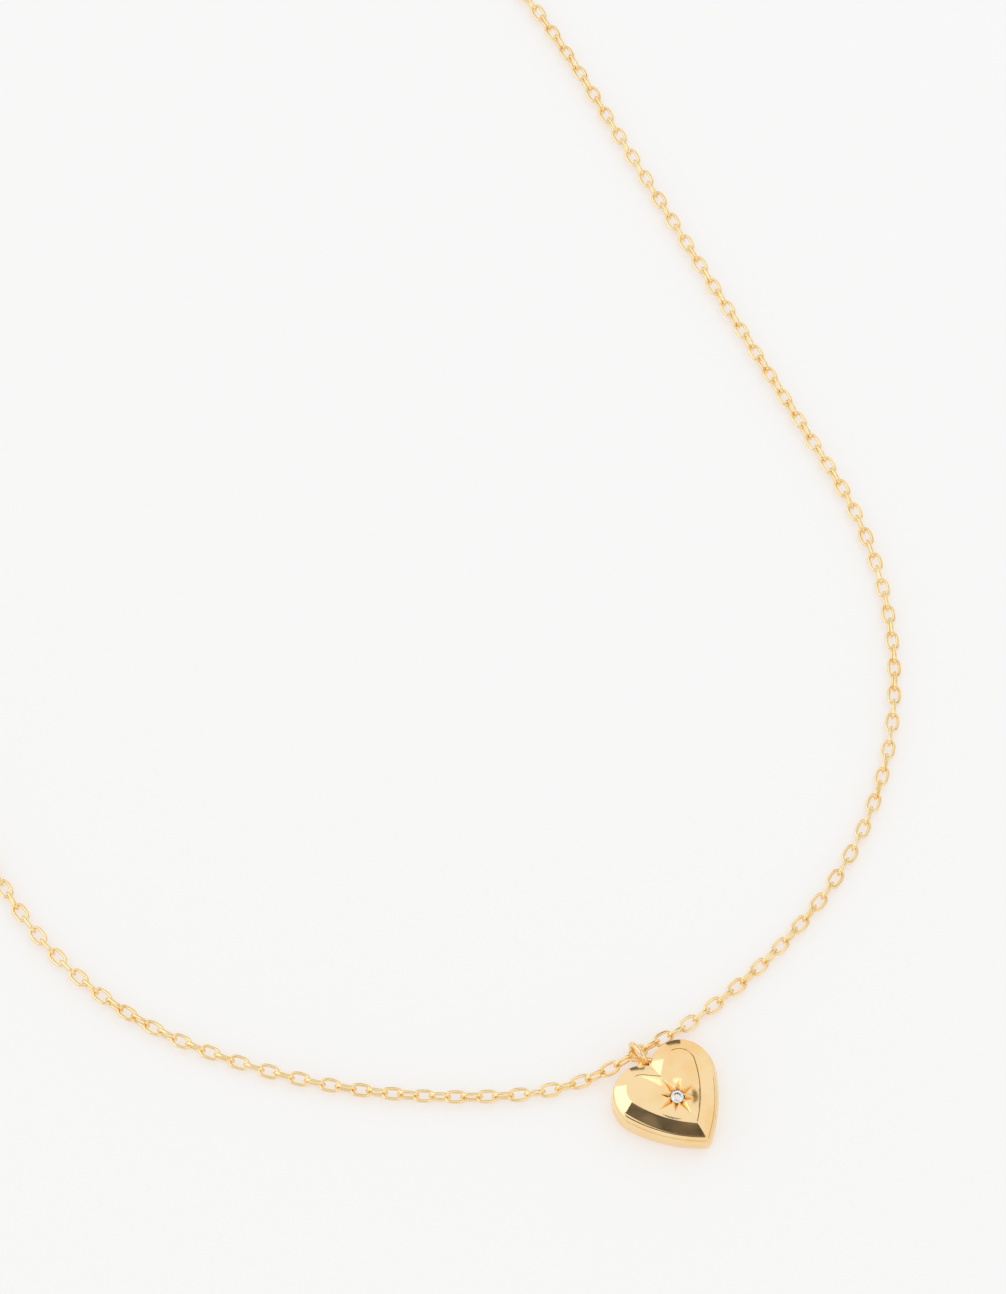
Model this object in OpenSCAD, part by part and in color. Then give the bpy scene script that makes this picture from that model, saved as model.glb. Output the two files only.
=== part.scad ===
// Pendant necklace: a puffed heart with a star-set stone, on a fine cable chain
// with a lobster clasp and an extender. Millimetres, +Z up, lying on a table.
// The origin is the centre of the heart's flat back.

/* [Heart] */
// Width of the bevel band, seen from above
bevel_w = 1.08; // [1:0.02:1.16]
// Height of the bevel's outer edge
wall_h = 2.35; // [2.3:0.05:2.4]
// How far the rounded side stands out past the face's edge
side_w = 1.65; // [1.55:0.05:1.7]
// Height of the flat face above the table
face_z = 2.95; // [2.8:0.05:3.2]
// Thickness of the two stamped shells
shell_t = 0.35; // [0.3:0.01:0.4]
// Height of the seam between the two shells
seam_z = 1.85; // [1.75:0.05:1.9]
// Turn of the heart about Z, away from a notch that points along +Y
heart_turn = 36.5; // [34:0.5:39]

/* [Star and stone] */
// Diameter of the round stone
stone_d = 1.2; // [1.1:0.05:1.25]
// Length of the long rays, from the centre of the stone
ray_long = 1.85; // [1.6:0.05:2]
// Length of the short rays
ray_short = 1.4; // [1.2:0.05:1.6]
// Depth of the cuts beside the stone
ray_depth = 0.25; // [0.15:0.01:0.28]

/* [Fine chain] */
// Outer length of a link
link_l = 2.09; // [2.07:0.01:2.11]
// Outer width of a link
link_w = 1.3; // [1.28:0.01:1.32]
// Diameter of the wire
link_d = 0.32; // [0.31:0.01:0.33]

/* [Extender] */
// Outer length of an extender link
ext_l = 3.2; // [3.1:0.05:3.4]
// Outer width of an extender link
ext_w = 2.3; // [2.2:0.05:2.4]
// Diameter of the extender's wire
ext_d = 0.45; // [0.42:0.01:0.48]
// Diameter of the end tag
tag_d = 4.5; // [4:0.1:5]

/* [Rings and clasp] */
// Outer diameter of the pendant's jump ring
bail_d = 2.8; // [2.75:0.05:2.85]
// Diameter of the pendant ring's wire
bail_wire = 0.45; // [0.43:0.01:0.45]
// Thickness of the clasp
clasp_t = 1.6; // [1.5:0.05:1.7]
// Diameter of the clasp's rivet
rivet_d = 0.5; // [0.4:0.05:0.6]

/* [Hidden] */
$fn = 32;
gold = "#F2CF86";
deep_gold = "#E0A84C";
gap = 0.04;

// ---- Heart ----------------------------------------------------------------
// The flat face's edge, right half: a straight out of the notch, an arc round
// the lobe and a wide arc to the tip. Every lower level of the heart is this
// outline grown by an offset, except that the cleft stops growing early so that
// the loop and the ring have room in it.
notch_y = 1.98;
lobe_c = [2.05, 1.95];
lobe_r = 1.4;
tip_y = -3.26;
tip_lean = 50.5;
cleft_w = 1.2;
side_h = lobe_c[1] - tip_y;
wide_r = (lobe_c[0] * lobe_c[0] + side_h * side_h - lobe_r * lobe_r)
    / (2 * (side_h * sin(tip_lean) - lobe_c[0] * cos(tip_lean) - lobe_r));
wide_c = [-wide_r * cos(tip_lean), tip_y + wide_r * sin(tip_lean)];
notch_rise = asin(lobe_r / norm([lobe_c[0], lobe_c[1] - notch_y]))
    + atan2(lobe_c[1] - notch_y, lobe_c[0]);
// The face's own edge is eased by this offset, and the front shell is this
// much smaller than the back shell at the seam.
face_ease = 0.04;
seam_step = 0.06;
seam_w = 1.45;

function arc(c, r, a0, a1, n) =
    [for (i = [1 : n]) let (a = a0 + (a1 - a0) * i / n) c + r * [cos(a), sin(a)]];
// Lower levels may also drop their lobes towards the tip, which keeps the heart's
// top clear of the chain. A level is [lobe's centre, its radius, wide arc's
// centre, its radius].
function level(d, drop) = let (
    tip = wide_c[1] - sqrt(pow(wide_r + d, 2) - pow(wide_c[0], 2)),
    lean = asin((wide_c[1] - tip) / (wide_r + d)),
    c = lobe_c - [0, drop],
    r = lobe_r + d,
    h = c[1] - tip,
    w = (c[0] * c[0] + h * h - r * r) / (2 * (h * sin(lean) - c[0] * cos(lean) - r))
) [c, r, [-w * cos(lean), tip + w * sin(lean)], w];
function lobe_start(d, drop, cleft) = let (away = lobe_r + min(d, cleft) + drop * cos(notch_rise))
    90 + notch_rise - acos(min(1, away / (lobe_r + d)));

// d is the offset, t is the radius that rounds the tip, drop is as above, and
// cleft is how far the notch's sides may grow.
function half_heart(d, t, drop, cleft) = let (
    l = level(d, drop),
    tip_c = [0, l[2][1] - sqrt(pow(l[3] - t, 2) - pow(l[2][0], 2))],
    join_a = atan2(l[0][1] - l[2][1], l[0][0] - l[2][0]),
    tip_a = atan2(tip_c[1] - l[2][1], -l[2][0])
) concat(
    arc(l[0], l[1], lobe_start(d, drop, cleft) + 6, join_a, 16),
    arc(l[2], l[3], join_a, tip_a, 9),
    arc(tip_c, t, tip_a, -90, 4)
);
function heart_outline(d, t, drop = 0, cleft = cleft_w) = let (
    half = half_heart(d, t, drop, cleft),
    n = len(half)
) concat(
    [[0, notch_y + min(d, cleft) / cos(notch_rise)]],
    half,
    [for (i = [n - 2 : -1 : 0]) [-half[i][0], half[i][1]]]
);

// A closed body whose outline goes through [offset, z, tip rounding, lobe drop]
// levels, from the bottom up.
module heart_stack(levels, cleft = cleft_w) {
    n = len(heart_outline(levels[0][0], levels[0][2]));
    top = len(levels) - 1;
    points = [for (l = levels) for (p = heart_outline(l[0], l[2], l[3], cleft)) [p[0], p[1], l[1]]];
    sides = [for (k = [0 : top - 1]) for (i = [0 : n - 1]) let (j = (i + 1) % n)
        [k * n + i, (k + 1) * n + i, (k + 1) * n + j, k * n + j]];
    polyhedron(points, concat(
        [[for (i = [n - 1 : -1 : 0]) i]],
        [[for (i = [0 : n - 1]) top * n + i]],
        sides
    ));
}

module heart_place() rotate([0, 0, heart_turn]) children();

// The stone sits on the heart's centre line, above the tip.
stone_y = -0.35;
stone_r = stone_d / 2;
girdle_z = face_z - 0.05;
ray_root = stone_r + 0.05;
ray_w = 0.42;

// One tapered V cut, deepest at the stone and running out on the face.
module ray_cut(reach) {
    above = 0.02;
    polyhedron(
        [
            [ray_root - 0.15, -ray_w / 2, face_z + above],
            [ray_root - 0.15, ray_w / 2, face_z + above],
            [ray_root - 0.15, 0, face_z - ray_depth],
            [reach, 0, face_z + above]
        ],
        [[0, 1, 2], [0, 3, 1], [1, 3, 2], [2, 3, 0]]
    );
}

module heart_front() color(gold) heart_place() difference() {
    heart_stack([
        [seam_w - seam_step, seam_z, 0.4, 0.3],
        [seam_w - seam_step - 0.02, seam_z + 0.15, 0.35, 0.25],
        [bevel_w + 0.12, wall_h - 0.1, 0.2, 0.08],
        [bevel_w, wall_h, 0.12, 0],
        [face_ease, face_z, 0.06, 0]
    ]);
    heart_stack([
        [seam_w - seam_step - shell_t, seam_z - 0.1, 0.1, 0.3],
        [bevel_w - shell_t, wall_h - 0.15, 0.1, 0],
        [face_ease, face_z - shell_t, 0.06, 0]
    ], cleft_w - shell_t);
    translate([0, stone_y, seam_z]) cylinder(h = 2, r = stone_r + 0.02);
    translate([0, stone_y, 0]) for (i = [0 : 7])
        rotate([0, 0, 45 * i]) ray_cut(i % 2 == 0 ? ray_long : ray_short);
}

module heart_back() color(gold) heart_place() difference() {
    heart_stack([
        [side_w - 0.4, 0, 0.5, 0.3],
        [side_w - 0.17, 0.15, 0.7, 0.4],
        [side_w - 0.04, 0.45, 0.8, 0.46],
        [side_w, 0.9, 0.8, 0.5],
        [side_w - 0.05, 1.35, 0.7, 0.46],
        [seam_w, seam_z, 0.46, 0.32]
    ]);
    heart_stack([
        [side_w - 0.45 - shell_t, shell_t, 0.1, 0.3],
        [side_w - 0.05 - shell_t, 0.7, 0.2, 0.48],
        [side_w - 0.05 - shell_t, 1.15, 0.2, 0.48],
        [seam_w - shell_t, seam_z + 0.2, 0.1, 0.3]
    ], cleft_w - shell_t);
}

// Ring radii to the middle of the wire, and the threaded wires' places: a wire
// of radius w hangs inside a ring at ring_reach(ring, w) from the ring's centre.
bail_r = (bail_d - bail_wire) / 2;
bail_z = bail_d / 2;
bail_y = 5.15;
loop_wire = 0.45;
loop_r = 0.7;
loop_z = 1.3;
loop_y = bail_y - sqrt(pow(bail_r - (bail_wire + loop_wire) / 2 - gap, 2) - pow(bail_z - loop_z, 2))
    - loop_r;

module torus(r, wire) rotate_extrude() translate([r, 0]) circle(d = wire);

module heart_loop() color(gold) heart_place() difference() {
    translate([0, loop_y, loop_z]) torus(loop_r, loop_wire);
    translate([0, 0, loop_z - 1]) linear_extrude(2) polygon(heart_outline(cleft_w, 0.3));
}

module pendant_ring() color(gold) heart_place()
    translate([0, bail_y, bail_z]) rotate([0, 90, 0]) torus(bail_r, bail_wire);

// A collet under the face that carries the stone's lower half.
module stone_seat() color(deep_gold) heart_place() translate([0, stone_y, 0]) difference() {
    translate([0, 0, 1.9]) cylinder(h = face_z - shell_t - 1.9, r = 0.95);
    translate([0, 0, 1.8]) cylinder(h = 1, r = 0.3);
    translate([0, 0, face_z - 0.62]) cylinder(h = 0.57, r1 = 0.12, r2 = stone_r + 0.02);
}

module stone() color("#F4F8FF") heart_place() translate([0, stone_y, 0]) union() {
    translate([0, 0, girdle_z - 0.5]) cylinder(h = 0.5, r1 = 0.02, r2 = stone_r);
    translate([0, 0, girdle_z]) cylinder(h = 0.19, r1 = stone_r, r2 = 0.34);
}

// Eight raised grains, between the rays, that hold the stone down.
module setting_grains() color(gold) heart_place() translate([0, stone_y, face_z])
    for (i = [0 : 7]) rotate([0, 0, 45 * i + 22.5]) translate([stone_r + 0.13, 0, 0])
        intersection() {
            sphere(r = 0.13, $fn = 24);
            translate([-0.2, -0.2, 0]) cube([0.4, 0.4, 0.2]);
        }

// ---- Chain ----------------------------------------------------------------
// Each side of the chain is a row of strands: [links, turn in degrees]. The
// route starts inside the pendant ring and runs out along the table in arcs.
RIGHT = [[15, 21], [14, 29], [20, 37], [35, -1], [12, 7], [22, 45], [22, 46]];
LEFT = [[8, -27], [21, -27], [15, -33], [26, -29], [26, 3], [18, 42]];
EXTENDER = [[9, 50], [10, 60]];
pitch = link_l - 2 * link_d - gap - 0.01;
ext_pitch = ext_l - 2 * ext_d - gap - 0.02;
middle_y = 5.39;
middle_z = 1.4;
lie_z = link_w / 2 + 0.01;
ext_z = ext_w / 2 + 0.01;
rise = 6;
// The chain crosses the pendant ring a little off square.
chain_lag = 5.5;
roll_sway = 10;

// A pose on the table is [x, y, heading].
function turned(p, a) = [p[0] * cos(a) - p[1] * sin(a), p[0] * sin(a) + p[1] * cos(a), p[2] + a];
function go(p, run, turn) = abs(turn) < 0.01
    ? [p[0] + run * cos(p[2]), p[1] + run * sin(p[2]), p[2]]
    : let (r = run * 180 / PI / turn, h = p[2] + turn)
        [p[0] + r * (sin(h) - sin(p[2])), p[1] - r * (cos(h) - cos(p[2])), h];
function links_before(side, i) = i == 0 ? 0 : links_before(side, i - 1) + side[i - 1][0];
function strand_start(side, i, p0, step) = i == 0
    ? p0
    : go(strand_start(side, i - 1, p0, step), side[i - 1][0] * step, side[i - 1][1]);
function height(s) = lie_z + (middle_z - lie_z) * (1 + cos(180 * min(s, rise) / rise)) / 2;
function slope(s) = s >= rise ? 0
    : atan(-(middle_z - lie_z) * PI / rise / 2 * sin(180 * s / rise));

centre = turned([0, middle_y, -chain_lag], heart_turn);
right_p0 = go(centre, pitch / 2, 0);
left_p0 = go([centre[0], centre[1], centre[2] + 180], pitch / 2, 0);

// An oval link of round wire, lying in the XY plane along X.
module oval_link(l, w, d) {
    half = (l - w) / 2;
    r = (w - d) / 2;
    for (a = [0, 180]) rotate([0, 0, a]) {
        translate([half, 0, 0]) rotate([0, 0, -90])
            rotate_extrude(angle = 180) translate([r, 0]) circle(d = d);
        translate([-half, r, 0]) rotate([0, 90, 0]) cylinder(h = 2 * half, d = d);
    }
}

module place(p, z, tilt, roll)
    translate([p[0], p[1], z]) rotate([0, -tilt, p[2]]) rotate([roll, 0, 0]) children();

// Links alternate between flat and upright, with a slow sway in their roll.
module strand(side, i, p0) {
    count = side[i][0];
    first = links_before(side, i);
    start = strand_start(side, i, p0, pitch);
    for (j = [0 : count - 1]) {
        part = (j + 0.5) / count;
        s = (first + j + 1) * pitch;
        roll = ((first + j + 1) % 2) * 90 + roll_sway * sin(360 * part);
        place(go(start, count * pitch * part, side[i][1] * part), height(s), slope(s), roll)
            oval_link(link_l, link_w, link_d);
    }
}

module chain_centre() color(gold) place(centre, middle_z, 0, 0) oval_link(link_l, link_w, link_d);
module chain_right_1() color(gold) strand(RIGHT, 0, right_p0);
module chain_right_2() color(gold) strand(RIGHT, 1, right_p0);
module chain_right_3() color(gold) strand(RIGHT, 2, right_p0);
module chain_right_4() color(gold) strand(RIGHT, 3, right_p0);
module chain_right_5() color(gold) strand(RIGHT, 4, right_p0);
module chain_right_6() color(gold) strand(RIGHT, 5, right_p0);
module chain_right_7() color(gold) strand(RIGHT, 6, right_p0);
module chain_left_1() color(gold) strand(LEFT, 0, left_p0);
module chain_left_2() color(gold) strand(LEFT, 1, left_p0);
module chain_left_3() color(gold) strand(LEFT, 2, left_p0);
module chain_left_4() color(gold) strand(LEFT, 3, left_p0);
module chain_left_5() color(gold) strand(LEFT, 4, left_p0);
module chain_left_6() color(gold) strand(LEFT, 5, left_p0);

// ---- Ends of the chain ----------------------------------------------------
// The jump rings at the ends stand upright on the table. reach() is how far
// along the table a threaded wire, at height z, sits from the ring's centre.
ring_d = 2.6;
ring_wire = 0.4;
ring_r = (ring_d - ring_wire) / 2;
ring_z = ring_d / 2;
function reach(wire, z) = sqrt(pow(ring_r - (ring_wire + wire) / 2 - gap, 2) - pow(ring_z - z, 2));

link_end = (link_l - link_d) / 2;
ext_end = (ext_l - ext_d) / 2;
right_last = go(strand_start(RIGHT, 7, right_p0, pitch), -pitch / 2, 0);
left_last = go(strand_start(LEFT, 6, left_p0, pitch), -pitch / 2, 0);
clasp_ring_p = go(right_last, link_end + reach(link_d, lie_z), 0);
ext_ring_p = go(left_last, link_end + reach(link_d, lie_z), 0);

module end_ring(p) color(gold) place(p, ring_z, 0, 90) torus(ring_r, ring_wire);
module clasp_ring() end_ring(clasp_ring_p);
module extender_ring() end_ring(ext_ring_p);

// ---- Clasp ----------------------------------------------------------------
// Local axes: the eye is at the origin and the nose points along +X.
eye_r = 0.8;
eye_wire = 0.45;
clasp_z = clasp_t / 2;
clasp_p = go(clasp_ring_p, reach(eye_wire, clasp_z) + eye_r, 0);
hook_x = 5.3;
hook_out = 2.2;
hook_in = 1.3;
pivot = [3.2, 0.55];
// The lever ends at this distance from its pivot, and the nose starts there.
gate_r = 3.17;
slot_h = 0.8;
lever_t = 0.7;

module clasp_place() translate([clasp_p[0], clasp_p[1], 0]) rotate([0, 0, clasp_p[2]]) children();

// A wedge of a disc between two angles, to cut an arc out of a ring.
module wedge(r, a0, a1) polygon(concat([[0, 0]], arc([0, 0], r, a0 - 2, a1, 10)));

module clasp_body() color(gold) clasp_place() {
    difference() {
        linear_extrude(clasp_t) difference() {
            union() {
                translate([hook_x, 0]) circle(r = hook_out, $fn = 64);
                polygon([[0.8, -0.5], [1.7, -1.15], [3.2, -1.5], [4.4, -1.9], [4.4, 1.2],
                    [3.6, 1.35], [2.4, 1.35], [1.5, 1], [0.8, 0.5]]);
            }
            translate([hook_x, 0]) circle(r = hook_in, $fn = 64);
            intersection() {
                translate([hook_x, 0]) wedge(4, 20, 140);
                translate(pivot) circle(r = gate_r + 0.06, $fn = 64);
            }
        }
        translate([1.5, -0.75, clasp_z - slot_h / 2]) cube([3.2, 3, slot_h]);
        translate([pivot[0], pivot[1], -1]) cylinder(h = 4, d = rivet_d);
    }
    translate([0, 0, clasp_z]) torus(eye_r, eye_wire);
}

module clasp_lever() color(gold) clasp_place() translate([0, 0, clasp_z - lever_t / 2])
    linear_extrude(lever_t) difference() {
        union() {
            translate([hook_x, 0]) intersection() {
                difference() {
                    circle(r = hook_out - 0.05, $fn = 64);
                    circle(r = hook_in + 0.05, $fn = 64);
                }
                wedge(4, 20, 160);
                translate(pivot - [hook_x, 0]) circle(r = gate_r, $fn = 64);
            }
            translate(pivot) circle(r = 0.55);
            translate(pivot) polygon([[-0.45, 0.2], [0.35, 0.3], [0.05, 1.65], [-0.4, 1.55]]);
        }
        translate(pivot) circle(d = rivet_d + 0.06);
    }

module clasp_rivet() color(deep_gold) clasp_place()
    translate([pivot[0], pivot[1], 0]) cylinder(h = clasp_t, d = rivet_d);

// A hairpin of fine wire in the slot behind the lever.
module clasp_spring() color("silver") clasp_place() translate([1.95, -0.3, clasp_z]) {
    bend = 0.25;
    wire = 0.16;
    rotate([0, 0, 90]) rotate_extrude(angle = 180) translate([bend, 0]) circle(d = wire);
    for (y = [-bend, bend]) translate([0, y, 0]) rotate([0, 90, 0]) cylinder(h = 0.55, d = wire);
}

// ---- Extender -------------------------------------------------------------
ext_p0 = go(ext_ring_p, reach(ext_d, ext_z) + ext_end - ext_pitch / 2, 0);

module extender(i) color(gold) {
    count = EXTENDER[i][0];
    first = links_before(EXTENDER, i);
    start = strand_start(EXTENDER, i, ext_p0, ext_pitch);
    for (j = [0 : count - 1]) {
        part = (j + 0.5) / count;
        place(go(start, count * ext_pitch * part, EXTENDER[i][1] * part), ext_z, 0, ((first + j) % 2) * 90)
            oval_link(ext_l, ext_w, ext_d);
    }
}
module extender_1() extender(0);
module extender_2() extender(1);

ext_last = go(strand_start(EXTENDER, 2, ext_p0, ext_pitch), -ext_pitch / 2, 0);
tag_ring_p = go(ext_last, ext_end + reach(ext_d, ext_z), 0);
module tag_ring() end_ring(tag_ring_p);

tag_t = 1.4;
tag_eye_r = 0.7;
tag_p = go(tag_ring_p, reach(eye_wire, tag_t / 2) + tag_eye_r, 0);

// A small lens-shaped drop with its own eye.
module end_tag() color(gold) translate([tag_p[0], tag_p[1], 0]) rotate([0, 0, tag_p[2]]) {
    translate([0, 0, tag_t / 2]) torus(tag_eye_r, eye_wire);
    translate([tag_eye_r + tag_d / 2 - 0.1, 0, 0]) rotate_extrude($fn = 64)
        polygon([[0, 0], [tag_d / 2 - 0.7, 0], [tag_d / 2 - 0.15, 0.35], [tag_d / 2, tag_t / 2],
            [tag_d / 2 - 0.15, tag_t - 0.35], [tag_d / 2 - 0.7, tag_t], [0, tag_t]]);
}

heart_front();
heart_back();
heart_loop();
stone_seat();
stone();
setting_grains();
pendant_ring();
chain_centre();
chain_right_1();
chain_right_2();
chain_right_3();
chain_right_4();
chain_right_5();
chain_right_6();
chain_right_7();
chain_left_1();
chain_left_2();
chain_left_3();
chain_left_4();
chain_left_5();
chain_left_6();
clasp_ring();
clasp_body();
clasp_lever();
clasp_rivet();
clasp_spring();
extender_ring();
extender_1();
extender_2();
tag_ring();
end_tag();
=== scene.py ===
"""Pendant necklace: a puffed gold heart with a star-set stone on a fine cable chain.

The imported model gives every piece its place. The heart's shells, loop, stone and
grains, the pendant's jump ring and each link of the fine chain are rebuilt as fine
meshes. The clasp, the end rings, the extender, its tag and the stone's collet keep
their CAD meshes. Everything gets a procedural finish. Lengths are millimetres
unless a comment says metres, and meshes are made in metres.
"""
import logging
import math
from dataclasses import dataclass
from enum import Enum
from typing import Callable

import bpy
import numpy as np
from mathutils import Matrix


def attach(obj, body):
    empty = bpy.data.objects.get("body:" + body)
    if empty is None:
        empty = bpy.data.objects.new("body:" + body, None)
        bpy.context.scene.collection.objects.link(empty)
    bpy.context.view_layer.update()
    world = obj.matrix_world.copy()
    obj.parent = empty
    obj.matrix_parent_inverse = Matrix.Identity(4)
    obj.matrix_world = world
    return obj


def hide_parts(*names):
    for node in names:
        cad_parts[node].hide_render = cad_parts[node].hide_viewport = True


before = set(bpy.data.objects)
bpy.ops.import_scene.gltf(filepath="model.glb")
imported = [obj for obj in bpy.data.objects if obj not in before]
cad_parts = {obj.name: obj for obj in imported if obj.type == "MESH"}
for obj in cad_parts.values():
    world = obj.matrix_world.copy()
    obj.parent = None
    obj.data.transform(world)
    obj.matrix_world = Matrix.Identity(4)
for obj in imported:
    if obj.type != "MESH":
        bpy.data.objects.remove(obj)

LOG = logging.getLogger("necklace")
MM = 0.001
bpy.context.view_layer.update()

Array = np.ndarray
Pose = tuple[float, float, float]
Direction = tuple[float, float, float]
Colour = tuple[float, float, float]
Strands = tuple[tuple[int, float], ...]


# ---- Meshes -----------------------------------------------------------------
def turn_z(angle: float) -> Array:
    """The 3 by 3 matrix that turns by an angle in degrees about Z."""
    c, s = math.cos(math.radians(angle)), math.sin(math.radians(angle))
    return np.array([[c, -s, 0], [s, c, 0], [0, 0, 1.0]])


def turn_x(angle: float) -> Array:
    """The 3 by 3 matrix that turns by an angle in degrees about X."""
    c, s = math.cos(math.radians(angle)), math.sin(math.radians(angle))
    return np.array([[1.0, 0, 0], [0, c, -s], [0, s, c]])


def turn_y(angle: float) -> Array:
    """The 3 by 3 matrix that turns by an angle in degrees about Y."""
    c, s = math.cos(math.radians(angle)), math.sin(math.radians(angle))
    return np.array([[c, 0, s], [0, 1.0, 0], [-s, 0, c]])


def grid_faces(rows: int, columns: int, wrap_rows: bool, wrap_columns: bool) -> Array:
    """Quads of a grid of points, whose index is row * columns + column.

    Args:
        rows: how many rows of points there are.
        columns: how many points a row has.
        wrap_rows: whether the last row joins the first.
        wrap_columns: whether each row closes on itself.

    Returns:
        An array of quads, one row of four indices each.
    """
    r = np.arange(rows if wrap_rows else rows - 1)
    c = np.arange(columns if wrap_columns else columns - 1)
    r, c = np.meshgrid(r, c, indexing="ij")
    r1, c1 = (r + 1) % rows, (c + 1) % columns
    quads = [r * columns + c, r * columns + c1, r1 * columns + c1, r1 * columns + c]
    return np.stack(quads, axis=-1).reshape(-1, 4)


def make_object(name: str, points: Array, quads: Array,
                fans: list[Array] | None = None) -> bpy.types.Object:
    """A smooth-shaded mesh object at the origin.

    Args:
        name: the object's name.
        points: N by 3 places in millimetres.
        quads: M by 4 point indices.
        fans: closed rings of point indices, each filled by one face.

    Returns:
        The new object, linked to the scene.
    """
    fans = fans or []
    mesh = bpy.data.meshes.new(name)
    loops = np.concatenate([quads.ravel()] + [np.asarray(f).ravel() for f in fans]).astype(np.int32)
    sizes = np.concatenate([np.full(len(quads), 4), np.array([len(f) for f in fans], int)])
    starts = np.concatenate([[0], np.cumsum(sizes)[:-1]]).astype(np.int32)
    mesh.vertices.add(len(points))
    mesh.vertices.foreach_set("co", (np.asarray(points) * MM).astype(np.float32).ravel())
    mesh.loops.add(len(loops))
    mesh.loops.foreach_set("vertex_index", loops)
    mesh.polygons.add(len(sizes))
    mesh.polygons.foreach_set("loop_start", starts)
    mesh.polygons.foreach_set("use_smooth", np.ones(len(sizes), bool))
    mesh.update(calc_edges=True)
    mesh.validate()
    made = bpy.data.objects.new(name, mesh)
    bpy.context.scene.collection.objects.link(made)
    return made


def subdivide(piece: bpy.types.Object, levels: int = 1) -> None:
    """Adds a Subdivision Surface with the same levels in view and in render."""
    smooth = piece.modifiers.new("smooth", "SUBSURF")
    smooth.levels = smooth.render_levels = levels


def fit(piece: bpy.types.Object, body: str, nodes: list[str], finish: "Finish") -> None:
    """Dresses a piece, hangs it on its body and lets it stand for CAD nodes.

    Args:
        piece: the finished object.
        body: the body it rides on.
        nodes: the CAD nodes that it replaces.
        finish: what it is made of.
    """
    piece.data.materials.clear()
    piece.data.materials.append(finish.material())
    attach(piece, body)
    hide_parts(*nodes)
    LOG.info("%s: %d faces on %s", piece.name, len(piece.data.polygons), body)


def tube_ring(ring_r: float, wire_r: float, around: int, sides: int,
              squash: Callable[[Array], Array] | None = None) -> tuple[Array, Array]:
    """A torus in the XY plane: a circle of wire carried round a larger circle.

    Args:
        ring_r: radius to the middle of the wire.
        wire_r: radius of the wire.
        around: segments round the ring.
        sides: segments round the wire.
        squash: optional factor on the wire's radius, from the angle round the ring.

    Returns:
        Points and quads that face outwards.
    """
    a = np.linspace(0, 2 * np.pi, around, endpoint=False)[:, None]
    b = np.linspace(0, 2 * np.pi, sides, endpoint=False)[None, :]
    wire = wire_r * (squash(a) if squash else np.ones_like(a))
    out = ring_r + wire * np.cos(b)
    points = np.stack([out * np.cos(a), out * np.sin(a), wire * np.sin(b) * np.ones_like(a)], axis=-1)
    return points.reshape(-1, 3), grid_faces(around, sides, True, True)[:, ::-1]


# ---- Finishes ---------------------------------------------------------------
def noise(nodes: bpy.types.Nodes, links: bpy.types.NodeLinks, scale: float,
          detail: float = 2.0) -> bpy.types.NodeSocket:
    """Noise that keeps its place on a piece, from its Object coordinates.

    Args:
        nodes: the material's nodes.
        links: the material's links.
        scale: waves per metre.
        detail: how many finer waves are added.

    Returns:
        The noise's value.
    """
    where = nodes.new("ShaderNodeTexCoord")
    texture = nodes.new("ShaderNodeTexNoise")
    texture.inputs["Scale"].default_value = scale
    texture.inputs["Detail"].default_value = detail
    links.new(where.outputs["Object"], texture.inputs["Vector"])
    return texture.outputs["Fac"]


def remap(nodes: bpy.types.Nodes, links: bpy.types.NodeLinks, value: bpy.types.NodeSocket,
          source: tuple[float, float] = (0.0, 1.0),
          target: tuple[float, float] = (0.0, 1.0)) -> bpy.types.NodeSocket:
    """A value spread from one range over another, and held inside it.

    Args:
        nodes: the material's nodes.
        links: the material's links.
        value: what is spread.
        source: the range that is read.
        target: the range that is given.

    Returns:
        The spread value.
    """
    spread = nodes.new("ShaderNodeMapRange")
    spread.inputs["From Min"].default_value, spread.inputs["From Max"].default_value = source
    spread.inputs["To Min"].default_value, spread.inputs["To Max"].default_value = target
    links.new(value, spread.inputs["Value"])
    return spread.outputs["Result"]


def mix_tone(nodes: bpy.types.Nodes, links: bpy.types.NodeLinks, share: bpy.types.NodeSocket,
             first: Colour, second: Colour) -> bpy.types.NodeSocket:
    """A colour between two others.

    Args:
        nodes: the material's nodes.
        links: the material's links.
        share: how much of the second colour there is.
        first: the colour at a share of 0.
        second: the colour at a share of 1.

    Returns:
        The mixed colour.
    """
    tone = nodes.new("ShaderNodeMix")
    tone.data_type = "RGBA"
    tone.inputs[6].default_value = (*first, 1)
    tone.inputs[7].default_value = (*second, 1)
    links.new(share, tone.inputs[0])
    return tone.outputs[2]


class Finish:
    """A procedural material, made once and shared."""

    name: str
    made: dict[str, bpy.types.Material] = {}

    def build(self, nodes: bpy.types.Nodes, links: bpy.types.NodeLinks, shader: bpy.types.Node) -> None:
        """Sets up the shader. Each finish has its own."""
        raise NotImplementedError

    def material(self) -> bpy.types.Material:
        """The finish's material, built on the first call."""
        if self.name not in Finish.made:
            mat = bpy.data.materials.new(self.name)
            mat.use_nodes = True
            shader = mat.node_tree.nodes["Principled BSDF"]
            self.build(mat.node_tree.nodes, mat.node_tree.links, shader)
            Finish.made[self.name] = mat
        return Finish.made[self.name]


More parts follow.
